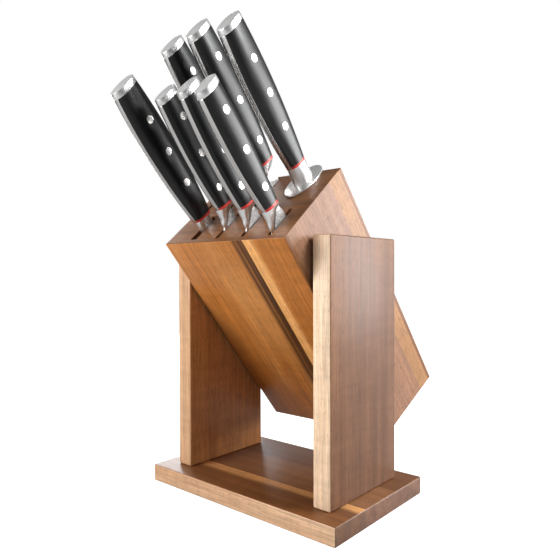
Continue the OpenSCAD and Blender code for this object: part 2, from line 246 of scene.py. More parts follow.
def span(tree, value, low, high, to_low=0.0, to_high=1.0):
    node = tree.nodes.new("ShaderNodeMapRange")
    node.interpolation_type = "SMOOTHSTEP"
    wire(tree, value, node.inputs["Value"])
    for name, number in (("From Min", low), ("From Max", high),
                         ("To Min", to_low), ("To Max", to_high)):
        if hasattr(number, "is_output"):
            wire(tree, number, node.inputs[name])
        else:
            node.inputs[name].default_value = number
    return node.outputs["Result"]


def blend_colour(tree, amount, first, second, how="MIX"):
    node = tree.nodes.new("ShaderNodeMix")
    node.data_type = "RGBA"
    node.blend_type = how
    if hasattr(amount, "is_output"):
        wire(tree, amount, node.inputs["Factor"])
    else:
        node.inputs["Factor"].default_value = amount
    for socket, value in ((node.inputs[6], first), (node.inputs[7], second)):
        if hasattr(value, "is_output"):
            wire(tree, value, socket)
        else:
            socket.default_value = value
    return node.outputs[2]


def new_group(name, inputs, outputs):
    tree = bpy.data.node_groups.new(name, "ShaderNodeTree")
    for label, kind, value in inputs:
        socket = tree.interface.new_socket(name=label, in_out="INPUT", socket_type=kind)
        if value is not None:
            socket.default_value = value
    for label, kind in outputs:
        tree.interface.new_socket(name=label, in_out="OUTPUT", socket_type=kind)
    return tree, tree.nodes.new("NodeGroupInput"), tree.nodes.new("NodeGroupOutput")


def streak(tree, across, middle, half_width):
    """A soft stripe along the grain: 1 in its middle, 0 at its borders."""
    off = maths(tree, "ABSOLUTE", maths(tree, "SUBTRACT", across, middle))
    return span(tree, maths(tree, "DIVIDE", off, half_width), 1.0, 0.35)


def make_grain():
    tree, given, result = new_group(
        "acacia grain", WOOD_INPUTS,
        [("Color", "NodeSocketColor"), ("Roughness", "NodeSocketFloat"),
         ("Height", "NodeSocketFloat")])
    place = given.outputs["Place"]
    split = tree.nodes.new("ShaderNodeSeparateXYZ")
    wire(tree, place, split.inputs[0])
    wander = noise(tree, place, (9, 9, 5), 2.0)
    across = maths(tree, "MULTIPLY_ADD", wander, 2 * STREAK_WANDER, split.outputs["X"])
    across = maths(tree, "SUBTRACT", across, STREAK_WANDER)
    bands = noise(tree, place, (85, 85, 2.6), 5.0, 0.58, 0.4)
    lines = noise(tree, place, (330, 330, 5), 4.0, 0.6, 0.3)
    fibres = noise(tree, place, (1500, 1500, 40), 3.0, 0.6)
    clouds = noise(tree, place, (18, 18, 5), 2.0)
    pores = noise(tree, place, (1700, 1700, 190), 1.0, 0.4)
    ripple = noise(tree, place, (30, 30, 150), 2.0, 0.5, 0.5)
    dark_share = maths(tree, "MULTIPLY", span(tree, bands, 0.40, 0.70), given.outputs["Band"])
    colour = blend_colour(tree, dark_share, given.outputs["Heart"], given.outputs["Dark"])
    colour = blend_colour(tree, span(tree, clouds, 0.48, 0.8, 0.0, 0.4), colour,
                          given.outputs["Pale"])
    near = streak(tree, across, given.outputs["Streak at"], given.outputs["Streak width"])
    near = maths(tree, "MULTIPLY", near, span(tree, lines, 0.3, 0.6, 0.45, 1.0))
    colour = blend_colour(tree, near, colour, given.outputs["Dark"])
    light = streak(tree, across, given.outputs["Light at"], given.outputs["Light width"])
    colour = blend_colour(tree, light, colour, given.outputs["Light tone"])
    sap = span(tree, maths(tree, "SUBTRACT", across, given.outputs["Sap from"]),
               -0.0003, 0.0006)
    colour = blend_colour(tree, sap, colour, given.outputs["Pale"])
    shade = maths(tree, "MULTIPLY", span(tree, lines, 0.28, 0.72, 0.84, 1.12),
                  span(tree, fibres, 0.25, 0.75, 0.78, 1.16))
    shade = maths(tree, "MULTIPLY", shade, span(tree, ripple, 0.3, 0.7, 0.94, 1.05))
    grey = tree.nodes.new("ShaderNodeCombineColor")
    for socket in grey.inputs:
        wire(tree, shade, socket)
    colour = blend_colour(tree, 1.0, colour, grey.outputs[0], "MULTIPLY")
    pits = maths(tree, "MULTIPLY", span(tree, pores, 0.62, 0.70), given.outputs["Pores"])
    colour = blend_colour(tree, pits, colour, PORE_TONE)
    wire(tree, colour, result.inputs["Color"])
    wire(tree, span(tree, fibres, 0.2, 0.8, 0.34, 0.50), result.inputs["Roughness"])
    wire(tree, maths(tree, "MULTIPLY_ADD", fibres, 0.25, maths(tree, "MULTIPLY", pits, -1.0)),
         result.inputs["Height"])
    return tree


grain = make_grain()
print("grain group has", len(grain.nodes), "nodes")

# %% [markdown]
# ## One wood material for each board
# Boards glued side by side never match, so each one gets its own tones and its own shift in the
# noise. Each could be painted by hand, but a Mapping node that turns the pattern so that Z runs
# along the board's grain keeps one pattern for all of them.

# %% Wood materials
ORANGE = (0.54, 0.190, 0.038, 1)
TAN = (0.34, 0.145, 0.052, 1)
BROWN = (0.160, 0.060, 0.019, 1)
DEEP = (0.065, 0.024, 0.008, 1)
CREAM = (0.92, 0.68, 0.47, 1)
PEACH = (0.68, 0.41, 0.24, 1)
AMBER = (0.95, 0.47, 0.16, 1)
ROSE = (0.30, 0.150, 0.088, 1)
DUSK = (0.17, 0.080, 0.046, 1)
SHELL = (0.28, 0.138, 0.070, 1)
COCOA = (0.085, 0.030, 0.008, 1)
HONEY = (0.56, 0.27, 0.095, 1)
CHESTNUT = (0.22, 0.092, 0.034, 1)
SAPWOOD = (0.36, 0.178, 0.074, 1)
ALONG_X = (0.0, math.radians(-90), 0.0)
ALONG_Z = (0.0, 0.0, 0.0)
DEPTH_FIRST = (0.0, 0.0, math.radians(-90))
BACK_FIRST = (math.radians(-90), math.radians(-90), 0.0)
TILT = block_place.to_euler().x
UP_BLOCK = (-TILT, 0.0, 0.0)
SIDE_ON = (-TILT, 0.0, math.radians(-90))
END_GRAIN = (0.0, math.radians(-90), math.radians(35))
TOP_GRAIN = (-TILT, math.radians(-90), math.radians(20))
OILED = 0.06
VARNISHED = 0.15
WOOD_GLOSS = 0.25
GRAIN_RELIEF = 0.0002


def dull(material, level):
    """Less mirror-like gloss than bare plastic or varnish would have."""
    material.node_tree.nodes["Principled BSDF"].inputs["Specular IOR Level"].default_value = level
    return material


def wood(name, heart, dark, pale, turn, shift=(0, 0, 0), coat=OILED, **extra):
    material = bpy.data.materials.new(name)
    material.use_nodes = True
    tree = material.node_tree
    shader = tree.nodes["Principled BSDF"]
    spot = tree.nodes.new("ShaderNodeTexCoord")
    mapping = tree.nodes.new("ShaderNodeMapping")
    mapping.inputs["Rotation"].default_value = turn
    mapping.inputs["Location"].default_value = shift
    wire(tree, spot.outputs["Object"], mapping.inputs["Vector"])
    pattern = tree.nodes.new("ShaderNodeGroup")
    pattern.node_tree = grain
    wire(tree, mapping.outputs[0], pattern.inputs["Place"])
    for label, colour in (("Heart", heart), ("Dark", dark), ("Pale", pale)):
        pattern.inputs[label].default_value = colour
    for label, value in extra.items():
        pattern.inputs[label.replace("_", " ").capitalize()].default_value = value
    bump = tree.nodes.new("ShaderNodeBump")
    bump.inputs["Strength"].default_value = 0.25
    bump.inputs["Distance"].default_value = GRAIN_RELIEF
    wire(tree, pattern.outputs["Height"], bump.inputs["Height"])
    wire(tree, pattern.outputs["Color"], shader.inputs["Base Color"])
    wire(tree, pattern.outputs["Roughness"], shader.inputs["Roughness"])
    wire(tree, bump.outputs[0], shader.inputs["Normal"])
    shader.inputs["Coat Weight"].default_value = coat
    shader.inputs["Coat Roughness"].default_value = 0.22
    return dull(material, WOOD_GLOSS)


def finish(piece, material, body, slot, *replaced):
    """Give a piece its material, its body and the frame solids it stands for. The slot is not
    used.
    """
    piece.data.materials.clear()
    piece.data.materials.append(material)
    for face in piece.data.polygons:
        face.material_index = 0
    smooth(piece)
    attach(piece, body)
    if replaced:
        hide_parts(*replaced)
    return piece


def paint_faces(piece, direction, material, limit=0.7, both=True):
    """A second material on the faces that look along a direction."""
    piece.data.materials.append(material)
    slot_number = len(piece.data.materials) - 1
    for face in piece.data.polygons:
        along = face.normal.dot(direction)
        if (abs(along) if both else along) > limit:
            face.material_index = slot_number


print("wood ready")

# %% [markdown]
# ## Base
# The base is three boards glued edge to edge, then planed and rounded as one. Three separate
# boards would each get rounded edges at the joints. Making it as the real one is made keeps the
# joints flush: one rounded board is cut at each joint.

# %% Base
BASE_EDGE = 1.2 * MM
LIGHT_STRIPE = 11 * MM
base_low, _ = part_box("base_front_stave")
_, base_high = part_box("base_rear_stave")
whole_base = rounded_box("whole_base", base_low, base_high, BASE_EDGE)
base_tones = {
    "base_front_stave": ("pale_wood", dict(heart=BROWN, dark=COCOA, pale=TAN), 0.5),
    "base_middle_stave": ("brown_wood", dict(heart=CHESTNUT, dark=BROWN, pale=TAN), 0.5),
    "base_rear_stave": ("brown_wood", dict(heart=BROWN, dark=COCOA, pale=TAN), 0.4),
}
end_hearts = [(0.14, 0.078, 0.053, 1), (0.22, 0.112, 0.072, 1), (0.21, 0.108, 0.068, 1)]
end_dark = (0.12, 0.060, 0.038, 1)
base_front = wood("base_front_edge_acacia", PEACH, TAN, CREAM, ALONG_X, (0, 0, 0.31), Band=0.35,
                  Pores=0.35)
for i, (node, (slot, tones, band)) in enumerate(base_tones.items()):
    low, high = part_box(node)
    stave = copy(whole_base, node + "_board")
    if low.y > base_low.y + MM:
        keep_side(stave, low, (0, -1, 0))
    if high.y < base_high.y - MM:
        keep_side(stave, high, (0, 1, 0))
    is_front = i == 0
    extra = dict(Light_at=high.y - 2 * MM, Light_width=LIGHT_STRIPE, Light_tone=HONEY)
    tone = wood(node + "_acacia", tones["heart"], tones["dark"], tones["pale"], BACK_FIRST,
                (0, 0, 0.7 * i), coat=VARNISHED, Band=band, **(extra if is_front else {}))
    finish(stave, tone, "stand", slot, node)
    ends = wood(node + "_end_grain", end_hearts[i], end_dark, TAN, END_GRAIN,
                (0, 0.2 * i, 0), coat=VARNISHED, Band=0.8, Pores=0.8)
    paint_faces(stave, Vector((1, 0, 0)), ends)
    if is_front:
        paint_faces(stave, Vector((0, -1, 0)), base_front, both=False)
    print(node, "board is", round((high.y - low.y) / MM, 1), "mm deep")
discard(whole_base)

# %% [markdown]
# ## Uprights
# Each upright is one thick board with eased edges. Its wide faces are brown and its narrow
# front edge is nearly all sapwood, as on a board sawn across the border of the heartwood. The
# left board is painted a lighter orange except on its front edge and outer face. This is painted
# light that lifts its inner face, which lies in the shade beside the block. One board could be
# mirrored for both sides, but two boards with their own grain look like real wood.

# %% Uprights
UPRIGHT_EDGE = 1.5 * MM
left_low, left_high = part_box("left_upright")
right_low, right_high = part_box("right_upright")
left = rounded_box("left_upright_board", left_low, left_high, UPRIGHT_EDGE)
right = rounded_box("right_upright_board", right_low, right_high, UPRIGHT_EDGE)
front_edge = Vector((0, -1, 0))
# Painted light: this lighter orange brightens the left board's inner face, which lies in shade
# beside the block, and also covers its back, top and bottom
inner_tone_painted_light = (0.52, 0.23, 0.080, 1)
outer_tone = (0.19, 0.091, 0.051, 1)
outer_dark = (0.125, 0.058, 0.033, 1)
left_upright_painted_light = wood("left_upright_acacia_painted_light", inner_tone_painted_light, TAN, ORANGE, DEPTH_FIRST, (0, 0, 0.3),
                  Band=0.45)
left_edge = wood("left_edge_acacia", PEACH, HONEY, CREAM, ALONG_Z, (0, 0.1, 0),
                 Band=0.35, Pores=0.2)
left_outer = wood("left_outer_acacia", outer_tone, outer_dark, TAN, DEPTH_FIRST, (0, 0, 2.6),
                  Band=0.75, Pores=0.7)
right_face = wood("right_upright_acacia", outer_tone, outer_dark, TAN, DEPTH_FIRST,
                  (0, 0, 1.7), Band=0.75, Pores=0.7)
right_edge = wood("right_edge_acacia", CREAM, PEACH, CREAM, ALONG_Z, (0, 0.5, 0),
                  Band=0.35, Pores=0.3)
finish(left, left_upright_painted_light, "stand", "brown_wood", "left_upright")
paint_faces(left, front_edge, left_edge, both=False)
# The left outer face goes back to the plain brown of the right board, without the painted light
paint_faces(left, Vector((-1, 0, 0)), left_outer, both=False)
finish(right, right_face, "stand", "pale_wood", "right_upright")
paint_faces(right, front_edge, right_edge, both=False)
print("uprights are", round((left_high.z - left_low.z) / MM), "mm tall")

# %% [markdown]
# ## Block
# The block is also one outer shape that was sawn slanting at the bottom and eased all round.
# Each board could be made by itself, but then its slanting end would have to be matched to its
# neighbours. So the outside is made once, and each panel and strip is a copy cut down to its own
# part of it.

# %% The outer shape of the block
BLOCK_EDGE = 0.8 * MM
low, _ = extent("back_panel", block_place)
whole_low = Vector((front_low.x, front_low.y, low.z))
whole_high = Vector((back_high.x, back_high.y, front_high.z))
whole_block = rounded_box("whole_block", whole_low, whole_high, 0)
slant_points = sorted({(round((block_place.inverted() @ v.co).y, 5),
                        round((block_place.inverted() @ v.co).z, 5))
                       for v in nodes["back_panel"].data.vertices})
back_bottom = min(slant_points, key=lambda p: p[1])
outer_bottom = min((p for p in slant_points if p[0] == slant_points[0][0]), key=lambda p: p[1])
slant = math.atan2(outer_bottom[1] - back_bottom[1], back_bottom[0] - outer_bottom[0])
print("bottom is sawn", round(math.degrees(slant), 1), "degrees off square")
cut_normal = Vector((0, -math.sin(slant), -math.cos(slant)))
keep_side(whole_block, (0, back_bottom[0], back_bottom[1]), cut_normal)
apply(whole_block, "BEVEL", width=BLOCK_EDGE, segments=4, limit_method="ANGLE")

# %% Cut the block into its panels and strips
SAP_DEPTH = 70.5 * MM
DARK_STREAK = 11 * MM
LIGHT_STREAK = 9 * MM
joint_x = extent("front_panel_left", block_place)[1].x
sap_from = front_low.y + SAP_DEPTH
BLOCK_PARTS = {
    "front_panel_left": (ORANGE, DEEP, AMBER, "tan_wood", UP_BLOCK,
                         dict(Streak_at=joint_x - 5 * MM, Streak_width=DARK_STREAK, Band=0.25,
                              Pores=0.35)),
    "front_panel_right": (ORANGE, BROWN, AMBER, "pale_wood", UP_BLOCK,
                          dict(Light_at=joint_x + 3 * MM, Light_width=LIGHT_STREAK,
                               Light_tone=AMBER, Band=0.25, Pores=0.35)),
    "back_panel": (TAN, BROWN, SHELL, "tan_wood", UP_BLOCK, dict(Band=0.6)),
    "steel_channel_filler": (BROWN, DEEP, TAN, "tan_wood", UP_BLOCK, dict(Band=0.5)),
}
side_tones = (ROSE, DUSK, SAPWOOD, "tan_wood", SIDE_ON,
              dict(Band=0.4, Pores=0.8, Sap_from=sap_from))
for row in ("front", "rear"):
    for i in range(1, 5):
        BLOCK_PARTS[f"{row}_strip_{i}"] = (BROWN, DEEP, TAN, "tan_wood", SIDE_ON, dict(Band=0.5))
    BLOCK_PARTS[f"{row}_strip_5"] = side_tones
BLOCK_PARTS["row_divider"] = (*side_tones[:3], "brown_wood", *side_tones[4:])
top_tone = (0.215, 0.085, 0.027, 1)
panel_tone = (0.22, 0.090, 0.035, 1)
top_face = wood("block_end_grain", top_tone, DEEP, TAN, TOP_GRAIN, (0, 0, 0.2), Band=0.7,
                Pores=0.8, Light_at=2.0)
panel_side = wood("panel_side_acacia", panel_tone, BROWN, TAN, SIDE_ON, (0, 0, 0.9),
                  Band=0.3, Pores=0.5)
up_block = block_place.to_3x3() @ Vector((0, 0, 1))

for i, (node, (heart, dark, pale, slot, turn, extra)) in enumerate(BLOCK_PARTS.items()):
    low, high = extent(node, block_place)
    board = copy(whole_block, node + "_board")
    for axis in (0, 1):
        away = Vector((0, 0, 0))
        away[axis] = 1
        if low[axis] > whole_low[axis] + 0.5 * MM:
            keep_side(board, low, -away)
        if high[axis] < whole_high[axis] - 0.5 * MM:
            keep_side(board, high, away)
    settle(board, block_place)
    shift = (0, 0, 0) if "Sap_from" in extra else (0, 0.11 * i, 0.4 * i)
    tone = wood(node + "_acacia", heart, dark, pale, turn, shift, **extra)
    finish(board, tone, "stand", slot, node)
    paint_faces(board, up_block, top_face)
    if "panel" in node:
        paint_faces(board, Vector((1, 0, 0)), panel_side)
discard(whole_block)
print("block cut into", len(BLOCK_PARTS), "boards")

# %% [markdown]
# ## Steel, black scales and red spacers
# The steel is polished but never perfect: fine drawn lines spread its highlights. The scales are
# dense black plastic with a satin skin, and the blades have a mottled, layered pattern. One
# number for roughness would look like toy metal, so colour, roughness and relief all follow one
# stretched noise.

# %% Metal and plastic materials
SKIN_RELIEF = 0.0001
SCALE_GLOSS = 0.42


def plain(name, colour, rough, metal=0.0):
    material = bpy.data.materials.new(name)
    material.use_nodes = True
    shader = material.node_tree.nodes["Principled BSDF"]
    shader.inputs["Base Color"].default_value = colour
    shader.inputs["Roughness"].default_value = rough
    shader.inputs["Metallic"].default_value = metal
    return material, material.node_tree, shader


def patterned(name, light, dark, rough, metal, scale, strength, detail=3.0, warp=0.0,
              border=(0.35, 0.65)):
    """A material whose colour, roughness and relief follow one stretched noise."""
    material, tree, shader = plain(name, light, sum(rough) / 2, metal)
    spot = tree.nodes.new("ShaderNodeTexCoord")
    mapping = tree.nodes.new("ShaderNodeMapping")
    mapping.inputs["Rotation"].default_value = UP_BLOCK
    wire(tree, spot.outputs["Object"], mapping.inputs["Vector"])
    fac = noise(tree, mapping.outputs[0], scale, detail, 0.55, warp)
    amount = span(tree, fac, *border)
    wire(tree, blend_colour(tree, amount, light, dark), shader.inputs["Base Color"])
    wire(tree, span(tree, fac, 0.3, 0.7, *rough), shader.inputs["Roughness"])
    bump = tree.nodes.new("ShaderNodeBump")
    bump.inputs["Strength"].default_value = strength
    bump.inputs["Distance"].default_value = SKIN_RELIEF
    wire(tree, fac, bump.inputs["Height"])
    wire(tree, bump.outputs[0], shader.inputs["Normal"])
    return material


polished = patterned("polished_steel", (0.72, 0.705, 0.69, 1), (0.60, 0.585, 0.57, 1),
                     (0.20, 0.27), 1.0, (500, 500, 40), 0.015)
satin = patterned("satin_bolster_steel", (0.94, 0.935, 0.93, 1), (0.82, 0.815, 0.81, 1),
                  (0.26, 0.38), 1.0, (700, 700, 60), 0.06)
cap_steel = patterned("satin_cap_steel", (0.94, 0.935, 0.93, 1), (0.84, 0.835, 0.83, 1),
                      (0.34, 0.44), 1.0, (900, 120, 900), 0.08)
layered = patterned("layered_blade_steel", (0.54, 0.535, 0.53, 1), (0.22, 0.217, 0.213, 1),
                    (0.32, 0.48), 1.0, (1100, 640, 760), 0.35, 4.0, 1.6, (0.40, 0.62))
ribbed = patterned("ribbed_rod_steel", (0.66, 0.66, 0.65, 1), (0.40, 0.40, 0.39, 1),
                   (0.22, 0.34), 1.0, (2600, 2600, 3), 0.5, 1.0)
black = patterned("black_scale", (0.0045, 0.0045, 0.005, 1), (0.009, 0.009, 0.010, 1),
                  (0.29, 0.33), 0.0, (260, 260, 40), 0.012)
dull(black, SCALE_GLOSS)
red = patterned("red_spacer", (0.70, 0.050, 0.035, 1), (0.56, 0.032, 0.024, 1),
                (0.34, 0.46), 0.0, (600, 600, 600), 0.05)
zinc = patterned("zinc_screw", (0.62, 0.64, 0.66, 1), (0.46, 0.48, 0.50, 1),
                 (0.30, 0.45), 1.0, (400, 400, 400), 0.15)
beech = wood("beech_dowel", (0.60, 0.40, 0.22, 1), TAN, CREAM, ALONG_X, Band=0.3)
for node, material in (("upright_screws", zinc), ("block_dowels", beech)):
    nodes[node].data.materials.clear()
    nodes[node].data.materials.append(material)
print("metals ready")

# %% [markdown]
# ## Handles
# A handle is shaped as one smooth barrel: narrow at the spacer, widest past the middle, and
# narrower again at the butt. It is drawn out from a circle by extruding it ring by ring. The two
# scales, the tang between them, the cap and the spacers are then cut from copies of it, so all
# of them stay flush, as on the real handle, which is ground after assembly.

# %% Drawing out a shape ring by ring


def draw_out(name, rings, sides=40, square=2.0, start=None):
    """rings: (height, middle in Y, half width in X, half width in Y), from one end."""
    z, y, half_x, half_y = rings[0]
    bpy.ops.object.select_all(action="DESELECT")
    bpy.ops.mesh.primitive_circle_add(vertices=sides, radius=1, fill_type="NGON")
    piece = bpy.context.object
    piece.name = piece.data.name = name
    for v in piece.data.vertices:
        for i in (0, 1):
            v.co[i] = math.copysign(abs(v.co[i]) ** (2 / square), v.co[i])
    if start:
        start(piece)
    piece.scale = (half_x, half_y, 1)
    piece.location = (0, y, z)
    bpy.ops.object.transform_apply(location=True, rotation=True, scale=True)
    edit(piece)
    for (z0, y0, x0, w0), (z1, y1, x1, w1) in zip(rings, rings[1:]):
        bpy.ops.mesh.extrude_region_move(
            TRANSFORM_OT_translate={"value": (0, y1 - y0, z1 - z0)})
        bpy.ops.transform.resize(value=(x1 / x0, w1 / w0, 1), center_override=(0, y1, z1))
    bpy.ops.mesh.select_all(action="SELECT")
    bpy.ops.mesh.normals_make_consistent(inside=False)
    done()
    return piece


def cut_by(piece, cutter, how):
    apply(piece, "BOOLEAN", object=cutter, operation=how, solver="EXACT")


print("ready to draw out")

# %% The shape of a handle
BUTT_SLOPE = math.radians(10.3)
BIG_NECK, BIG_BUTT, BIG_NECK_X = 9.3 * MM, 11.1 * MM, 6.5 * MM
SMALL_NECK, SMALL_BUTT, SMALL_NECK_X = 8.0 * MM, 9.8 * MM, 5.6 * MM
BELLY_AT = 0.56
BARREL_STEPS = 16
BARREL_SIDES = 56
BARREL_SQUARE = 2.4
BUTT_UP = Vector((0, -math.sin(BUTT_SLOPE), math.cos(BUTT_SLOPE)))


class Handle:
    """Sizes of one handle, measured from the scales, spacers and steel of a tool."""

    def __init__(self, body, prefix, big):
        self.place = leaning(body)
        low, high = extent(f"{prefix}_right_scale", self.place)
        left_low, left_high = extent(f"{prefix}_left_scale", self.place)
        spacer_low, spacer_high = extent(f"{prefix}_spacers", self.place)
        self.steel = prefix + {"steel": "_tang", "carving_fork": "_tines"}.get(prefix, "_blade")
        self.steel_low, steel_high = extent(self.steel, self.place)
        self.x = (left_low.x + high.x) / 2
        self.y = (low.y + high.y) / 2
        self.z = spacer_low.z
        self.spacer = spacer_high.z - spacer_low.z
        self.tang_half = (low.x - left_high.x) / 2
        self.cap = steel_high.z - high.z
        self.length = steel_high.z - self.z
        self.belly = (high.y - low.y) / 2
        self.half_x = (high.x - left_low.x) / 2
        self.neck, self.butt = (BIG_NECK, BIG_BUTT) if big else (SMALL_NECK, SMALL_BUTT)
        self.neck_x = BIG_NECK_X if big else SMALL_NECK_X
        self.place = self.place @ Matrix.Translation((self.x, self.y, self.z))

    def half(self, s):
        """Half width at a height above the spacer's underside."""
        top = BELLY_AT * self.length
        end, run = (self.neck, top) if s < top else (self.butt, self.length - top)
        return self.belly - (self.belly - end) * ((s - top) / run) ** 2

    def half_thick(self, s):
        share = s / self.length
        return self.neck_x + (self.half_x - self.neck_x) * math.sin(math.pi / 2 * share)


def make_barrel(h, grow=0.0):
    heights = [h.length * i / BARREL_STEPS for i in range(BARREL_STEPS + 1)]
    rings = [(z, 0.0, h.half_thick(z) + grow, h.half(z) + grow) for z in heights]
    barrel = draw_out("barrel", rings, BARREL_SIDES, BARREL_SQUARE)
    keep_side(barrel, (0, h.butt, h.length), BUTT_UP)
    return barrel


TOOLS = {
    "carving_fork": ("carving_fork", True),
    "paring_knife": ("paring_knife", False),
    "utility_knife": ("utility_knife", False),
    "boning_knife": ("boning_knife", False),
    "chef_knife": ("chef_knife", True),
    "santoku_knife": ("santoku_knife", True),
    "honing_steel": ("steel", True),
}
handles = {body: Handle(body, prefix, big) for body, (prefix, big) in TOOLS.items()}
for body, h in handles.items():
    print(body, "handle is", round(h.length / MM), "mm long and", round(2 * h.belly / MM),
          "mm wide")

# %% Scales, spacers, tang and cap, cut from the barrel
TANG_EASE = 0.9 * MM
CAP_EASE = 0.25 * MM
CAP_TOP_LIMIT = 0.98
RIVET_PROUD = 0.08 * MM
RIVET_GAP = 4 * MM
PIN_LENGTH = 30 * MM


def cut_scale(h, barrel, side):
    piece = copy(barrel, "scale")
    keep_side(piece, (side * h.tang_half, 0, 0), (-side, 0, 0))
    keep_side(piece, (0, 0, h.spacer), (0, 0, -1))
    keep_side(piece, (0, h.butt, h.length - h.cap), BUTT_UP)
    return piece


def cut_spacers(h, barrel):
    """The tang runs through the spacer, so it is two half rings."""
    halves = []
    for side in (-1, 1):
        half = copy(barrel, "spacer")
        keep_side(half, (side * h.tang_half, 0, 0), (-side, 0, 0))
        keep_side(half, (0, 0, h.spacer), (0, 0, 1))
        halves.append(half)
    return join(halves, "spacers")


def cut_tang(h, barrel):
    """The tang's long edges are rounded over, so that they catch the light."""
    piece = copy(barrel, "tang")
    keep_side(piece, (h.tang_half, 0, 0), (1, 0, 0))
    keep_side(piece, (-h.tang_half, 0, 0), (-1, 0, 0))
    keep_side(piece, (0, h.butt, h.length - h.cap), BUTT_UP)
    apply(piece, "BEVEL", width=TANG_EASE, segments=4, limit_method="ANGLE",
          angle_limit=math.radians(50))
    return piece


def cut_cap(h, barrel):
    piece = copy(barrel, "cap")
    keep_side(piece, (0, h.butt, h.length - h.cap), -BUTT_UP)
    apply(piece, "BEVEL", width=CAP_EASE, segments=2, limit_method="ANGLE",
          angle_limit=math.radians(50))
    return piece


def rivet_spots(h, prefix):
    """Heights of the rivets above the spacer, from the gaps between the frame's rivets."""
    back = h.place.inverted()
    heights = sorted((back @ v.co).z for v in nodes[f"{prefix}_rivets"].data.vertices)
    groups = [[heights[0]]]
    for height in heights:
        if height - groups[-1][-1] > RIVET_GAP:
            groups.append([])
        groups[-1].append(height)
    return [(g[0] + g[-1]) / 2 for g in groups], (groups[0][-1] - groups[0][0]) / 2


for body, (prefix, _) in TOOLS.items():
    h = handles[body]
    barrel = make_barrel(h)
    for side, word in ((-1, "left"), (1, "right")):
        scale = cut_scale(h, barrel, side)
        scale.name = scale.data.name = f"{prefix}_{word}_scale_finished"
        settle(scale, h.place)
        finish(scale, black, body, "black_scale", f"{prefix}_{word}_scale")
    spacer = cut_spacers(h, barrel)
    spacer.name = spacer.data.name = f"{prefix}_red_spacer"
    settle(spacer, h.place)
    finish(spacer, red, body, "red_spacer", f"{prefix}_spacers")
    tang = cut_tang(h, barrel)
    tang.name = tang.data.name = f"{prefix}_tang_finished"
    settle(tang, h.place)
    finish(tang, polished, body, "polished_steel", h.steel)
    cap = cut_cap(h, barrel)
    cap.name = cap.data.name = f"{prefix}_cap"
    settle(cap, h.place)
    finish(cap, satin, body, "polished_steel")
    cap.data.materials.append(cap_steel)
    top = h.place.to_3x3() @ BUTT_UP
    for face in cap.data.polygons:
        face.material_index = 1 if face.normal.dot(top) > CAP_TOP_LIMIT else 0
    proud = make_barrel(h, RIVET_PROUD)
    spots, radius = rivet_spots(h, prefix)
    pins = []
    for spot in spots:
        bpy.ops.object.select_all(action="DESELECT")
        bpy.ops.mesh.primitive_cylinder_add(vertices=32, radius=radius, depth=PIN_LENGTH,
                                            location=(0, 0, spot),
                                            rotation=(0, math.radians(90), 0))
        bpy.ops.object.transform_apply(location=True, rotation=True, scale=True)
        pins.append(bpy.context.object)
    pin = join(pins, f"{prefix}_rivets_finished")
    cut_by(pin, proud, "INTERSECT")
    settle(pin, h.place)
    finish(pin, polished, body, "polished_steel", f"{prefix}_rivets")
    discard(barrel, proud)
    print(body, "rivets at", [round(s / MM) for s in spots], "mm")

# %% [markdown]
# ## Measuring the blades
# A blade's outline is already settled in the frame. It could be typed in again, but then two
# outlines would have to agree. So it is measured there as with calipers: at any height, how far
# the solid reaches to the front and to the back.

# %% Calipers


def measure(h, node, z):
    """Front and back of a frame solid at one height above the spacer's underside."""
    mesh = nodes[node].data
    back = h.place.inverted()
    spots = [back @ v.co for v in mesh.vertices]
    crossings = []
    for edge in mesh.edges:
        p, q = (spots[i] for i in edge.vertices)
        if (p.z - z) * (q.z - z) < 0:
            crossings.append(p.y + (q.y - p.y) * (z - p.z) / (q.z - p.z))
    return min(crossings), max(crossings)


def rings_between(h, node, heights, thick):
    """Rings for draw_out that follow a frame solid; thick gives the half thickness."""
    rings = []
    for z in heights:
        front, rear = measure(h, node, z)
        rings.append((z, (front + rear) / 2, thick(z), (rear - front) / 2))
    return rings


chef = handles["chef_knife"]
print("chef's blade is", round(-(chef.steel_low.z - chef.z) / MM), "mm below its spacer and",
      [round(y / MM, 1) for y in measure(chef, "chef_knife_blade", -60 * MM)], "mm across")

# %% [markdown]
# ## Blades
# A blade is thickest at the spine and thins to a ground edge. It is drawn out from tip to heel
# with a wedge section, and the last strip along the edge is left bright, as it is on a blade
# whose layered pattern was ground away there.

# %% Blades
WEDGE = [(0.10, -1.0), (0.45, -0.84), (0.80, -0.35), (1.0, 0.3), (1.0, 0.94), (0.80, 1.0)]
TIP_HALF = 0.55 * MM
HEEL_GAIN = 0.42 * MM
BRIGHT_EDGE = 0.1


def to_wedge(piece):
    """Turn a round start into a wedge: half the ring for each side of the blade."""
    ring = WEDGE + [(-x, y) for x, y in reversed(WEDGE)]
    for v, (x, y) in zip(piece.data.vertices, ring):
        v.co.x, v.co.y = x, y


def blade_heights(length, heel, count=30):
    """Closer together near the tip and the heel, where the outline turns."""
    top = -heel
    run = length - heel
    spaced = [-length + run * (0.003 + 0.992 * (i / count) ** 1.5) for i in range(count + 1)]
    above = [top + 0.25 * MM, top + 1.5 * MM, top + 3.5 * MM, top + 6 * MM]
    return spaced + [z for z in above if z < -4 * MM]


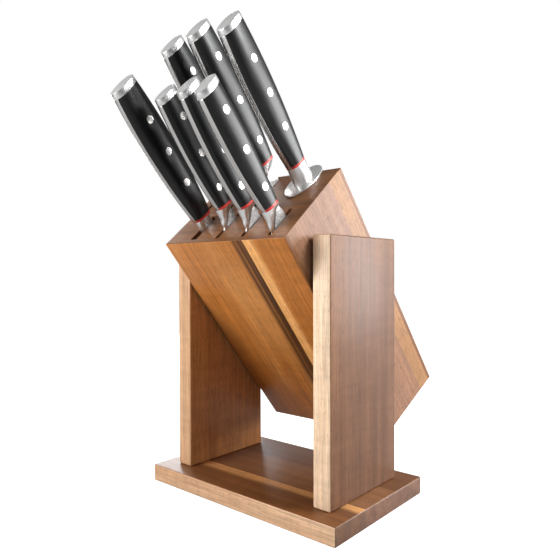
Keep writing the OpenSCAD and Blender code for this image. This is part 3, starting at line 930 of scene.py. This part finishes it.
def make_blade(h, prefix, heel):
    node = h.steel
    length = h.z_tip
    heights = blade_heights(length, heel)
    rings = rings_between(h, node, heights,
                          lambda z: TIP_HALF + HEEL_GAIN * (1 + z / length))
    rings = [(z, y, x, w - (0.5 * MM if z > -heel else 0)) for z, y, x, w in rings]
    rings.append((-3.0 * MM, rings[-1][1], rings[-1][2], h.neck - 1.5 * MM))
    blade = draw_out(f"{prefix}_blade_finished", rings, start=to_wedge, sides=2 * len(WEDGE))
    blade.data.materials.append(layered)
    blade.data.materials.append(polished)
    spans = {round(z, 6): (y - w, w) for z, y, _, w in rings}
    marks = sorted(spans)
    for face in blade.data.polygons:
        z = face.center.z
        below = max((m for m in marks if m <= z), default=marks[0])
        front, half = spans[below]
        share = (face.center.y - front) / (2 * half)
        on_edge = share < BRIGHT_EDGE and z < -heel and abs(face.normal.z) < 0.9
        face.material_index = 1 if on_edge else 0
    return blade


print("blade section has", 2 * len(WEDGE), "corners")

# %% [markdown]
# ## Bolsters
# The forged bolster keeps the handle's full section at the spacer. Down the front it narrows to
# the blade over its whole length, while at the back it is already as thin as the blade after a
# few millimetres. So its lower border sweeps up from front to back. It is drawn out in even
# rings first, and then each ring is let down further at the front than at the back.

# %% Bolsters
BOLSTER_STEPS = 10
BOLSTER_FOOT = 1.15 * MM
THINNING = 0.7
SWEEP = 2.4


def make_bolster(h, prefix, front_drop, back_drop):
    rings = []
    for i in range(BOLSTER_STEPS + 1):
        share = i / BOLSTER_STEPS
        thin = (1 - share) ** THINNING
        front, rear = measure(h, h.steel, -max(share * front_drop, 0.2 * MM) * 0.98)
        front = max(front, -h.neck - 4.5 * MM)
        rear = min(rear, h.neck + 1.0 * MM)
        half_x = BOLSTER_FOOT + (h.neck_x - BOLSTER_FOOT) * thin
        rings.append((-share, (front + rear) / 2, half_x, (rear - front) / 2))
    piece = draw_out(f"{prefix}_bolster", rings, 40, 2.5)
    for v in piece.data.vertices:
        front_share = min(max((h.neck - v.co.y) / (2 * h.neck), 0), 1)
        drop = back_drop + (front_drop - back_drop) * front_share ** SWEEP
        v.co.z *= drop
    return piece


# for each knife, in mm: how far the bolster reaches down in front and behind, and the heel
KNIVES = {
    "paring_knife": (16.5, 5.0, 16.5),
    "utility_knife": (16.5, 5.0, 16.5),
    "boning_knife": (16.5, 5.0, 16.5),
    "chef_knife": (15.0, 6.0, 20.0),
    "santoku_knife": (15.0, 6.0, 25.0),
}
for body, (front_drop, back_drop, heel) in KNIVES.items():
    h = handles[body]
    h.z_tip = h.z - h.steel_low.z
    bolster = make_bolster(h, body, front_drop * MM, back_drop * MM)
    settle(bolster, h.place)
    finish(bolster, satin, body, "polished_steel")
    blade = make_blade(h, body, heel * MM)
    settle(blade, h.place)
    smooth(blade)
    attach(blade, body)
    print(body, "blade reaches", round(h.z_tip / MM), "mm below the spacer")

# %% [markdown]
# ## Carving fork
# The fork's bolster stays thick, with rounded front and back, and goes down into a wider slot.
# Below it a neck spreads into two prongs: one flat shape is drawn out, and a rounded cutter then
# opens the gap between the prongs and brings them to points.

# %% Carving fork
fork = handles["carving_fork"]
fork.z_tip = fork.z - fork.steel_low.z
FORK = "carving_fork_tines"
sink = 17 * MM
bolster_rings = rings_between(
    fork, FORK, [-sink + 0.6 * MM, -sink + 2.2 * MM, -9 * MM, -5 * MM, -2 * MM, -0.2 * MM],
    lambda z: (3.0 + 0.8 * max(0, 1 + z / (9 * MM))) * MM)
fork_bolster = draw_out("carving_fork_bolster", bolster_rings, 40, 3.0)
settle(fork_bolster, fork.place)
finish(fork_bolster, satin, "carving_fork", "polished_steel")
crotch = fork.z_tip * 0.45
heights = [-fork.z_tip + fork.z_tip * share
           for share in (0.003, 0.04, 0.1, 0.2, 0.3, 0.4, 0.5, 0.56, 0.6, 0.66, 0.72, 0.8, 0.88)]
heights.append(-sink + 1.0 * MM)
prong_rings = []
for z in heights:
    front, rear = measure(fork, FORK, z)
    prong_rings.append((z, 0, (1.2 + 0.75 * min(1, (z + fork.z_tip) / (60 * MM))) * MM,
                        (rear - front) / 2))
prongs = draw_out("carving_fork_prongs", prong_rings, 32, 3.0)
tip = -fork.z_tip
gap_rings = [(tip - 2 * MM, 8.9), (tip + 6 * MM, 8.2), (tip + 24 * MM, 6.6),
             (-crotch - 14 * MM, 7.0), (-crotch - 6 * MM, 5.6), (-crotch - 3 * MM, 3.8),
             (-crotch - 1.5 * MM, 1.6)]
gap = draw_out("gap", [(z, 0, 12 * MM, w * MM) for z, w in gap_rings], 32, 8.0)
cut_by(prongs, gap, "DIFFERENCE")
discard(gap)
settle(prongs, fork.place)
finish(prongs, polished, "carving_fork", "polished_steel")
print("fork reaches", round(fork.z_tip / MM), "mm below its spacer")

# %% [markdown]
# ## Honing steel
# The honing steel has a flared ferrule on an oval guard that rests on the block, and a round rod
# with fine ribs along it. The ribs are real: every other corner of the rod's ring is pulled in.

# %% Honing steel
steel = handles["honing_steel"]
guard_low, guard_high = extent("steel_guard", steel.place)
rod_low, rod_high = extent("steel_rod", steel.place)
ferrule = draw_out(
    "steel_ferrule",
    [(guard_high.z, 0, 7.5 * MM, 10.2 * MM), (guard_high.z * 0.8, 0, 7.1 * MM, 9.8 * MM),
     (guard_high.z * 0.4, 0, 6.7 * MM, 9.4 * MM), (-0.1 * MM, 0, 6.5 * MM, 9.3 * MM)], 40, 2.3)
settle(ferrule, steel.place)
finish(ferrule, satin, "honing_steel", "polished_steel")
guard_half_x, guard_half_y = (guard_high.x - guard_low.x) / 2, (guard_high.y - guard_low.y) / 2
guard = draw_out("steel_guard_finished",
                 [(guard_low.z, 0, guard_half_x, guard_half_y),
                  (guard_high.z, 0, guard_half_x, guard_half_y)], 64)
apply(guard, "BEVEL", width=0.6 * MM, segments=4, limit_method="ANGLE",
      angle_limit=math.radians(60))
settle(guard, steel.place)
finish(guard, satin, "honing_steel", "polished_steel", "steel_guard")
ROD_SIDES = 96
RIB_DEPTH = 0.97
rod_r = (rod_high.x - rod_low.x) / 2
rod = draw_out("steel_rod_finished",
               [(rod_low.z, 0, rod_r * 0.45, rod_r * 0.45),
                (rod_low.z + 2 * MM, 0, rod_r * 0.8, rod_r * 0.8),
                (rod_low.z + 6 * MM, 0, rod_r, rod_r), (guard_low.z - 4 * MM, 0, rod_r, rod_r),
                (guard_low.z + 0.5 * MM, 0, rod_r, rod_r)], ROD_SIDES)
for v in rod.data.vertices:
    turn = math.degrees(math.atan2(v.co.y, v.co.x)) % 360
    if round(turn * ROD_SIDES / 360) % 2:
        v.co.x *= RIB_DEPTH
        v.co.y *= RIB_DEPTH
settle(rod, steel.place)
finish(rod, ribbed, "honing_steel", "ground_steel", "steel_rod")
print("rod is", round(2 * rod_r / MM), "mm thick and", round((rod_high.z - rod_low.z) / MM),
      "mm long")

# %% [markdown]
# ## Floor, lights and camera
# The block stands on a plain pale floor under soft studio light. A bright floor would light the
# wood from below and grey the black scales, so it and the world only look white to the camera
# and are darker to everything else, as in a studio with dark flags. Soft boxes give the long
# highlights on the handles: a small lamp would give hard spots.

# %% Floor, lights and camera
FLOOR_GREY = (0.38, 0.38, 0.38, 1)
FLOOR_GLOW = 0.95
WORLD_LIGHT = 0.28
bpy.ops.object.select_all(action="DESELECT")
bpy.ops.mesh.primitive_plane_add(size=30, location=(0, 0, 0))
floor = bpy.context.object
floor.name = "floor"
paper, paper_tree, paper_shader = plain("floor_paper", FLOOR_GREY, 0.8)
glow = paper_tree.nodes.new("ShaderNodeLightPath")
paper_shader.inputs["Emission Color"].default_value = (1, 1, 1, 1)
wire(paper_tree, maths(paper_tree, "MULTIPLY", glow.outputs["Is Camera Ray"], FLOOR_GLOW),
     paper_shader.inputs["Emission Strength"])
floor.data.materials.append(paper)

camera_data = bpy.data.cameras.new("camera")
camera = bpy.data.objects.new("camera", camera_data)
bpy.context.scene.collection.objects.link(camera)
camera_data.sensor_width = 36
camera_data.lens = 36.15
camera.location = (0.3187, -0.3764, 0.1880)
camera.rotation_euler = (math.radians(90 - 0.72), math.radians(0.18), math.radians(40.5))
bpy.context.scene.camera = camera


def softbox(name, spot, aim, width, height, power):
    data = bpy.data.lights.new(name, "AREA")
    data.shape = "RECTANGLE"
    data.size, data.size_y, data.energy = width, height, power
    lamp = bpy.data.objects.new(name, data)
    bpy.context.scene.collection.objects.link(lamp)
    lamp.location = spot
    lamp.rotation_euler = (Vector(aim) - Vector(spot)).to_track_quat("-Z", "Y").to_euler()


softbox("front_left_box", (-0.50, -1.10, 0.60), (0, 0, 0.20), 0.7, 0.8, 16)
softbox("right_box", (0.62, 0.22, 0.68), (0.1, 0, 0.24), 0.3, 0.3, 7.5)
softbox("back_right_box", (0.72, 0.86, 0.42), (0, 0, 0.25), 0.45, 0.7, 12)
softbox("left_box", (-1.10, 0.45, 0.38), (0, 0, 0.2), 1.0, 0.75, 12)
softbox("top_left_box", (-0.62, -0.15, 1.05), (0, 0, 0.35), 0.9, 0.9, 0.5)
world = bpy.data.worlds.new("studio")
world.use_nodes = True
sky = world.node_tree.nodes["Background"]
path = world.node_tree.nodes.new("ShaderNodeLightPath")
strength = maths(world.node_tree, "MULTIPLY_ADD", path.outputs["Is Camera Ray"],
                 1 - WORLD_LIGHT, WORLD_LIGHT)
wire(world.node_tree, strength, sky.inputs["Strength"])
sky.inputs["Color"].default_value = (1, 1, 1, 1)
bpy.context.scene.world = world
bpy.context.scene.view_settings.view_transform = "Standard"

print(len([light for light in bpy.data.lights if light.type == "AREA"]), "soft boxes ready")
